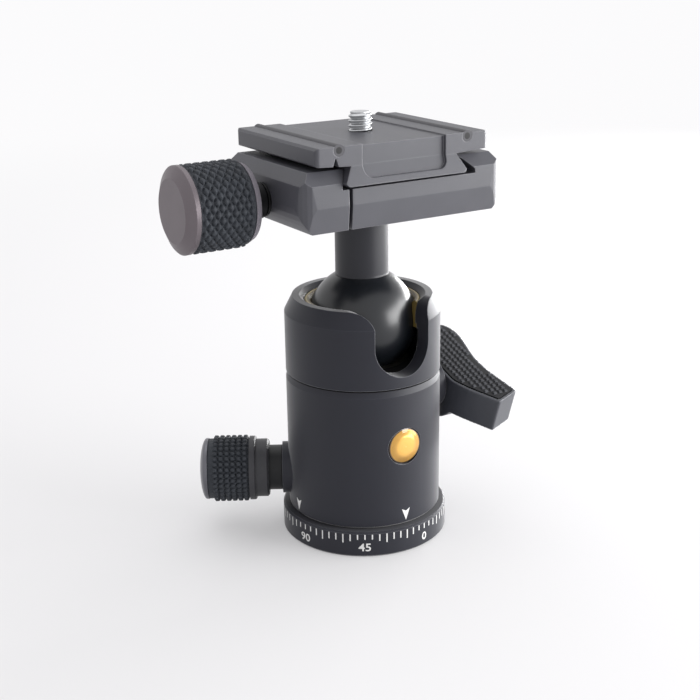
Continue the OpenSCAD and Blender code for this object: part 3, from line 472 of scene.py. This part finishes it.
# the lever again, with its edges rubbed round
lever = {"voxel": 0.28, "passes": 9, "strength": 0.5, "sharp": 80}


def makeLever():
    rough = bpy.data.objects.new("leverRough", nodes["lock_lever"].data.copy())
    bpy.context.scene.collection.objects.link(rough)
    fine = rough.modifiers.new("fine", "REMESH")
    fine.mode = "VOXEL"
    fine.voxel_size = lever["voxel"] * mm
    rounder = rough.modifiers.new("rounder", "SMOOTH")
    rounder.factor = lever["strength"]
    rounder.iterations = lever["passes"]
    graph = bpy.context.evaluated_depsgraph_get()
    mesh = bpy.data.meshes.new_from_object(rough.evaluated_get(graph))
    bpy.data.objects.remove(rough)
    settle("leverRounded", mesh, bodyOf["lock_lever"], "leverCoat", slotOf["lock_lever"],
           ["lock_lever"], lever["sharp"])


makeLever()
print("lever rounded")

# studs on the lever's two pads, in rows along and across its plane, which dips by droop degrees;
# a stud stands only where the pad reaches margin past its middle on every side
padStuds = {"droop": 18, "along": 1.9, "across": 1.6, "columns": range(8, 24), "rows": range(-16, 17),
            "foot": (0.66, 0.56), "top": (0.42, 0.34), "sunk": 0.1, "rise": 0.4, "margin": 0.75,
            "flat": 0.05, "sharp": 30}
square = [(-1, -1), (1, -1), (1, 1), (-1, 1)]
blockFaces = [[0, 1, 5, 4], [1, 2, 6, 5], [2, 3, 7, 6], [3, 0, 4, 7], [3, 2, 1, 0], [4, 5, 6, 7]]


def makePadStuds():
    out, centre = turning("lock_lever_turn")
    droop = math.radians(padStuds["droop"])
    length = Vector((0, math.cos(droop), math.sin(droop)))
    lift = Vector((0, -math.sin(droop), math.cos(droop)))
    pads = nodes["lever_pads"].data
    points = [v.co / mm for v in pads.vertices]
    tree = BVHTree.FromPolygons(points, [list(f.vertices) for f in pads.polygons])
    face = max((point - centre).dot(lift) for point in points)
    margin = padStuds["margin"]
    probes = [(0, 0), (margin, 0), (-margin, 0), (0, margin), (0, -margin)]
    layers = [(padStuds["foot"], face - padStuds["sunk"]), (padStuds["top"], face + padStuds["rise"])]

    def spot(x, y, z, side):
        # a point in the lever's own directions, above its plane or below
        return centre + out * x + length * y + lift * side * z

    def onPad(x, y, side):
        # a ray from 1 mm above the face meets it there
        hit = tree.ray_cast(spot(x, y, face + 1, side), -lift * side)[3]
        return hit is not None and abs(hit - 1) < padStuds["flat"]

    places = [(column * padStuds["along"], row * padStuds["across"], side) for side in (-1, 1)
              for column in padStuds["columns"] for row in padStuds["rows"]]
    verts, faces = [], []
    for x, y, side in places:
        if all(onPad(x + dx, y + dy, side) for dx, dy in probes):
            start = len(verts)
            for (wide, deep), z in layers:
                verts += [spot(x + sx * wide, y + sy * deep, z, side) for sx, sy in square]
            faces += [[start + k for k in block] for block in blockFaces]
    piece("leverPadStuds", verts, faces, bodyOf["lever_pads"], "padStuds", slotOf["lever_pads"],
          sharp=padStuds["sharp"])
    print("pad studs:", len(verts) // 8)


makePadStuds()

# along and round are the steps from stud to stud, and reach is a stud's radius in those steps;
# staggered rows have a stud on every second crossing; bands are the plain edges of the grip
grips = {
    "knob_grip": {"joint": "clamp_knob_turn", "along": 1.15, "round": 1.6, "staggered": True, "reach": 0.86,
                  "bands": (0.6, 0.6), "height": 0.7, "steps": 5},
    "pan_grip": {"joint": "pan_knob_turn", "along": 1.68, "round": 1.61, "staggered": False, "reach": 0.5,
                 "bands": (0.3, 1.4), "height": 0.85, "steps": 8},
}
gripEdge = {"chamfer": 0.15, "fade": 0.25, "sharp": 60}


def studHeight(x, y, staggered, reach):
    # 0 to 1 at a spot counted in steps: a rounded diamond where staggered, or else a round stud
    k = math.floor(x)
    i = round(y)
    if staggered:
        off = min(abs(x - m - 0.5) + abs(y - n) for m in (k - 1, k, k + 1) for n in (i - 1, i, i + 1)
                  if (m + n) % 2 == 0)
    else:
        off = math.hypot(x - k - 0.5, y - i)
    slope = min(1, (1 - off / reach) * 2)
    return math.sin(max(0, slope) * math.pi / 2)


def makeGrip(node, grip):
    axis, centre = turning(grip["joint"])
    start, end, bore, radius = extent(node, axis, centre)
    side = axis.cross(up).normalized()
    lift = side.cross(axis)
    length = end - start
    first, last = grip["bands"]
    rows = round((length - first - last) / grip["along"])
    step = (length - first - last) / rows
    low = radius - grip["height"]
    per = grip["steps"]
    columns = 2 * round(math.pi * radius / grip["round"]) * per
    chamfer = gripEdge["chamfer"]
    rings = [(0, bore), (0, low - chamfer), (chamfer, low)]
    rings += [(first + k * step / per, None) for k in range(rows * per + 1)]  # the studded ones
    rings += [(length - chamfer, low), (length, low - chamfer), (length, bore)]

    def at(j, i):
        along, r = rings[j]
        angle = i * 2 * math.pi / columns
        if r is None:
            fade = min(1, (along - first) / gripEdge["fade"], (length - last - along) / gripEdge["fade"])
            stud = studHeight((along - first) / step, i / per, grip["staggered"], grip["reach"])
            r = low + grip["height"] * stud * max(0, fade)
        return centre + axis * (start + along) + (side * math.cos(angle) + lift * math.sin(angle)) * r

    verts, faces = tube(len(rings), columns, at)
    piece(node + "Studs", verts, faces, bodyOf[node], "blackRubber", slotOf[node], [node],
          sharp=gripEdge["sharp"])


for node, settings in grips.items():
    makeGrip(node, settings)
print("grips studded")

# a dark ring in the groove under the upper housing, painted shade of the groove
shadeRing = {"inner": 20.7, "outer": 21.25, "thick": 0.45, "columns": 180}


def makeSeal():
    inner, outer, columns = shadeRing["inner"], shadeRing["outer"], shadeRing["columns"]
    top = corners("lower_housing")[1].z
    bottom = top - shadeRing["thick"]
    profile = [(inner, top), (outer, top), (outer, bottom), (inner, bottom)]
    verts, faces = tube(len(profile), columns, lambda j, i: around(i / columns, *profile[j]))
    last = (len(profile) - 1) * columns  # where the last ring's points start
    faces += [[last + i, last + (i + 1) % columns, (i + 1) % columns, i] for i in range(columns)]
    piece("grooveShadeRing", verts, faces, "housing", "grooveShadeRubber", "black_rubber")


makeSeal()
print("seal laid in the groove")

# camera screw: the head as it was, with a real thread above; it starts below the plate's top,
# runs in over a short neck and tapers at its tip
thread = {"pitch": 1.27, "major": 3.1, "minor": 2.5, "columns": 48, "rise": 0.09, "below": 1.2,
          "runIn": 0.3, "neck": 2.4, "swell": 0.5, "flank": 1.35, "flat": 0.1, "taper": 0.9, "sharp": 50}


def makeCameraScrew():
    high = corners("camera_screw")[1].z
    start = corners("quick_plate")[1].z - thread["below"]
    slot = slotOf["camera_screw"]
    head = nodes["camera_screw"].data.copy()
    bm = bmesh.new()
    bm.from_mesh(head)
    bmesh.ops.bisect_plane(bm, geom=bm.verts[:] + bm.edges[:] + bm.faces[:],
                           plane_co=(0, 0, start * mm), plane_no=(0, 0, 1), clear_outer=True)
    bm.to_mesh(head)
    bm.free()
    settle("cameraScrewHead", head, "camera_screw", "steel", slot, ["camera_screw"])
    rows = round((high - start) / thread["rise"])
    columns = thread["columns"]

    def at(j, i):
        z = start + (high - start) * j / rows
        past = z - start - thread["runIn"]
        turn = (z / thread["pitch"] - i / columns) % 1
        tooth = min(1, max(0, thread["flank"] * (1 - abs(2 * turn - 1)) - thread["flat"]))
        crest = min(thread["major"], thread["minor"] + max(0, high - z) * thread["taper"])
        root = thread["minor"] if past > 0 else thread["neck"]
        full = min(1, max(0, past) / thread["swell"])
        return around(i / columns, root + (crest - root) * tooth * full, z)

    verts, faces = tube(rows + 1, columns, at)
    faces.append([rows * columns + i for i in range(columns)])
    piece("cameraScrewThread", verts, faces, "camera_screw", "steel", slot, sharp=thread["sharp"])


makeCameraScrew()
print("camera screw threaded")

# the print on the base ring: ticks all round and a number every few of them; zero is in degrees
# from the notch, lengths and heights in millimetres, and numberWidth stretches the digits
dial = {"ticks": 72, "numbers": 8, "longEvery": 3, "zero": 13.4, "lift": 0.03, "top": 6.75, "long": 2.6,
        "middle": 2.0, "short": 1.5, "tickWidth": 0.36, "numberZ": 1.85, "numberWidth": 1.12}
digits = {"size": 3.243, "bold": 0.05, "resolution": 3, "cut": 0.3, "cuts": range(-12, 13)}


def onRing(angle, z, radius):
    # a point of the print; the angle is in degrees from the notch, towards the lever
    return around(angle / 360 - 0.25, radius, z)


def numberMesh(text):
    # flat digits, cut into narrow strips so that they bend round the ring
    curve = bpy.data.curves.new("digits", "FONT")
    curve.body = text
    curve.size = digits["size"]
    curve.align_x = "CENTER"
    curve.offset = digits["bold"]
    curve.resolution_u = digits["resolution"]
    holder = bpy.data.objects.new("digits", curve)
    bpy.context.scene.collection.objects.link(holder)
    graph = bpy.context.evaluated_depsgraph_get()
    mesh = bpy.data.meshes.new_from_object(holder.evaluated_get(graph))
    bpy.data.objects.remove(holder)
    bm = bmesh.new()
    bm.from_mesh(mesh)
    for k in digits["cuts"]:
        bmesh.ops.bisect_plane(bm, geom=bm.verts[:] + bm.edges[:] + bm.faces[:],
                               plane_co=(k * digits["cut"], 0, 0), plane_no=(1, 0, 0))
    verts = [v.co.copy() for v in bm.verts]
    bm.verts.index_update()
    faces = [[v.index for v in f.verts] for f in bm.faces]
    bm.free()
    return verts, faces


def makeDial():
    ring = corners("pan_base")[1].x
    radius = ring + dial["lift"]
    wide = math.degrees(dial["tickWidth"] / 2 / ring)
    group = dial["ticks"] // dial["numbers"]
    verts, faces = [], []
    for tick in range(dial["ticks"]):
        if min(tick % group, group - tick % group) <= 1:
            length = dial["short"]  # room for the number
        elif tick % dial["longEvery"] == 0:
            length = dial["long"]
        else:
            length = dial["middle"]
        left = dial["zero"] - tick * 360 / dial["ticks"] - wide
        right = left + 2 * wide
        low, high = dial["top"] - length, dial["top"]
        start = len(verts)
        verts += [onRing(left, low, radius), onRing(right, low, radius),
                  onRing(right, high, radius), onRing(left, high, radius)]
        faces.append([start, start + 1, start + 2, start + 3])
    for number in range(dial["numbers"]):
        angle = number * 360 // dial["numbers"]
        flat, shape = numberMesh(str(angle))
        start = len(verts)
        verts += [onRing(dial["zero"] - angle + math.degrees(v.x * dial["numberWidth"] / radius),
                         dial["numberZ"] + v.y, radius) for v in flat]
        faces += [[start + i for i in face] for face in shape]
    piece("dialMarks", verts, faces, "base", "whitePrint", "white_polymer")


makeDial()

# two index arrows on the housing, pointing down at the dial
arrows = {"lift": 0.03, "crown": 0.01, "top": 12.2, "tip": 8.75, "notch": 11.5, "width": 2.6,
          "angles": (0.3, -90)}


def makeArrows():
    wall = -corners("lower_housing")[0].y
    radius = wall + arrows["lift"]
    crown = radius + arrows["crown"]
    half = math.degrees(arrows["width"] / 2 / wall)
    verts, faces = [], []
    for angle in arrows["angles"]:
        start = len(verts)
        verts += [onRing(angle, arrows["tip"], radius), onRing(angle + half, arrows["top"], radius),
                  onRing(angle, arrows["notch"], crown), onRing(angle - half, arrows["top"], radius)]
        faces += [[start, start + 1, start + 2], [start, start + 2, start + 3]]
    piece("indexArrows", verts, faces, "housing", "whitePrint", "white_polymer")


makeArrows()
print("dial and arrows printed")


def raySeen(graph):
    # 1 for what the camera sees, straight or through gloss and glass
    straight, gloss, glass = [graph.add("ShaderNodeLightPath", out=ray)
                              for ray in ("Is Camera Ray", "Is Glossy Ray", "Is Transmission Ray")]
    return graph.calc("MAXIMUM", graph.calc("MAXIMUM", straight, gloss), glass)


# a square of paper that fades to the far colour from fadeFrom to fadeTo; half of its side and the
# fade are in metres, its grain and relief in millimetres
paper = {"half": 6.0, "colour": (0.75, 0.745, 0.755), "rough": 0.9, "grain": 1.5, "relief": 0.01,
         "mottle": 0.2, "darker": 0.98, "far": (0.97, 0.965, 0.975), "fadeFrom": 0.12, "fadeTo": 0.8,
         "nearFade": 0.3}


def makeFloor():
    s = paper["half"]
    mesh = bpy.data.meshes.new("floor")
    mesh.from_pydata([(-s, -s, 0), (s, -s, 0), (s, s, 0), (-s, s, 0)], [], [(0, 1, 2, 3)])
    floor = bpy.data.objects.new("floor", mesh)
    bpy.context.scene.collection.objects.link(floor)
    paint = Paint("floorPaper", Roughness=paper["rough"])
    grain = paint.noise(paper["grain"])
    shade = scaled(paper["colour"], paper["darker"])
    paint.dress(
        Base_Color=paint.mixColour(grain * paper["mottle"], paper["colour"], shade),
        Normal=paint.bump(grain, paper["relief"]))
    distance = paint.length(paint.place)
    fade = paint.smooth(distance, paper["fadeFrom"] / mm, paper["fadeTo"] / mm, toLow=paper["nearFade"])
    plain = paint.add("ShaderNodeEmission", None, {"Color": paper["far"], "Strength": 1.0})
    both = paint.add("ShaderNodeMixShader", None,
                     {0: fade * raySeen(paint), 1: Num(paint, paint.shader.outputs[0]), 2: plain})
    paint.feed(paint.tree.nodes["Material Output"].inputs["Surface"], both)
    coated(mesh, "floorPaper")


# light is the strength that the world lights the object with; what the camera sees of it is 1
sky = {"white": (0.985, 0.98, 0.99), "light": 0.68}


def makeWorld():
    world = bpy.data.worlds.new("studio")
    world.use_nodes = True
    graph = Graph(world.node_tree)
    background = graph.tree.nodes["Background"].inputs
    graph.feed(background["Color"], sky["white"])
    graph.feed(background["Strength"], sky["light"] + raySeen(graph) * (1 - sky["light"]))
    bpy.context.scene.world = world


# places and sizes in metres; every lamp points at the same spot
lampAim = (0, 0, 0.06)
lamps = [
    {"name": "overhead", "at": (0.05, 0.2, 0.9), "size": (1.0, 1.0), "watts": 2.4},
    {"name": "keyRight", "at": (0.62, -0.46, 0.19), "size": (0.85, 0.36), "watts": 9},
    {"name": "rimRight", "at": (0.75, 0.25, 0.1), "size": (0.6, 0.19), "watts": 8},
]


def makeLamp(name, at, size, watts):
    light = bpy.data.lights.new(name, "AREA")
    light.shape = "RECTANGLE"
    light.size, light.size_y = size
    light.energy = watts
    lamp = bpy.data.objects.new(name, light)
    lamp.location = at
    lamp.rotation_mode = "QUATERNION"
    lamp.rotation_quaternion = (Vector(lampAim) - Vector(at)).to_track_quat("-Z", "Y")
    bpy.context.scene.collection.objects.link(lamp)


# the photograph's viewpoint: its place in millimetres, and the lens and sensor of the camera
view = {"at": (-172.7, -278.5, 162.3), "forward": (0.49082, 0.81083, -0.31883),
        "up": (0.17723, 0.26537, 0.94772), "lens": 63.88, "sensor": 36, "near": 0.01}


def makeCamera():
    data = bpy.data.cameras.new("camera")
    data.lens = view["lens"]
    data.sensor_width = view["sensor"]
    data.clip_start = view["near"]
    camera = bpy.data.objects.new("camera", data)
    back = -Vector(view["forward"]).normalized()
    right = Vector(view["up"]).cross(back).normalized()
    turn = Matrix((right, back.cross(right), back)).transposed()
    camera.matrix_world = Matrix.Translation(Vector(view["at"]) * mm) @ turn.to_4x4()
    bpy.context.scene.collection.objects.link(camera)
    bpy.context.scene.camera = camera


makeFloor()
makeWorld()
for lamp in lamps:
    makeLamp(**lamp)
makeCamera()
bpy.context.scene.view_settings.view_transform = "Standard"
print("studio set")
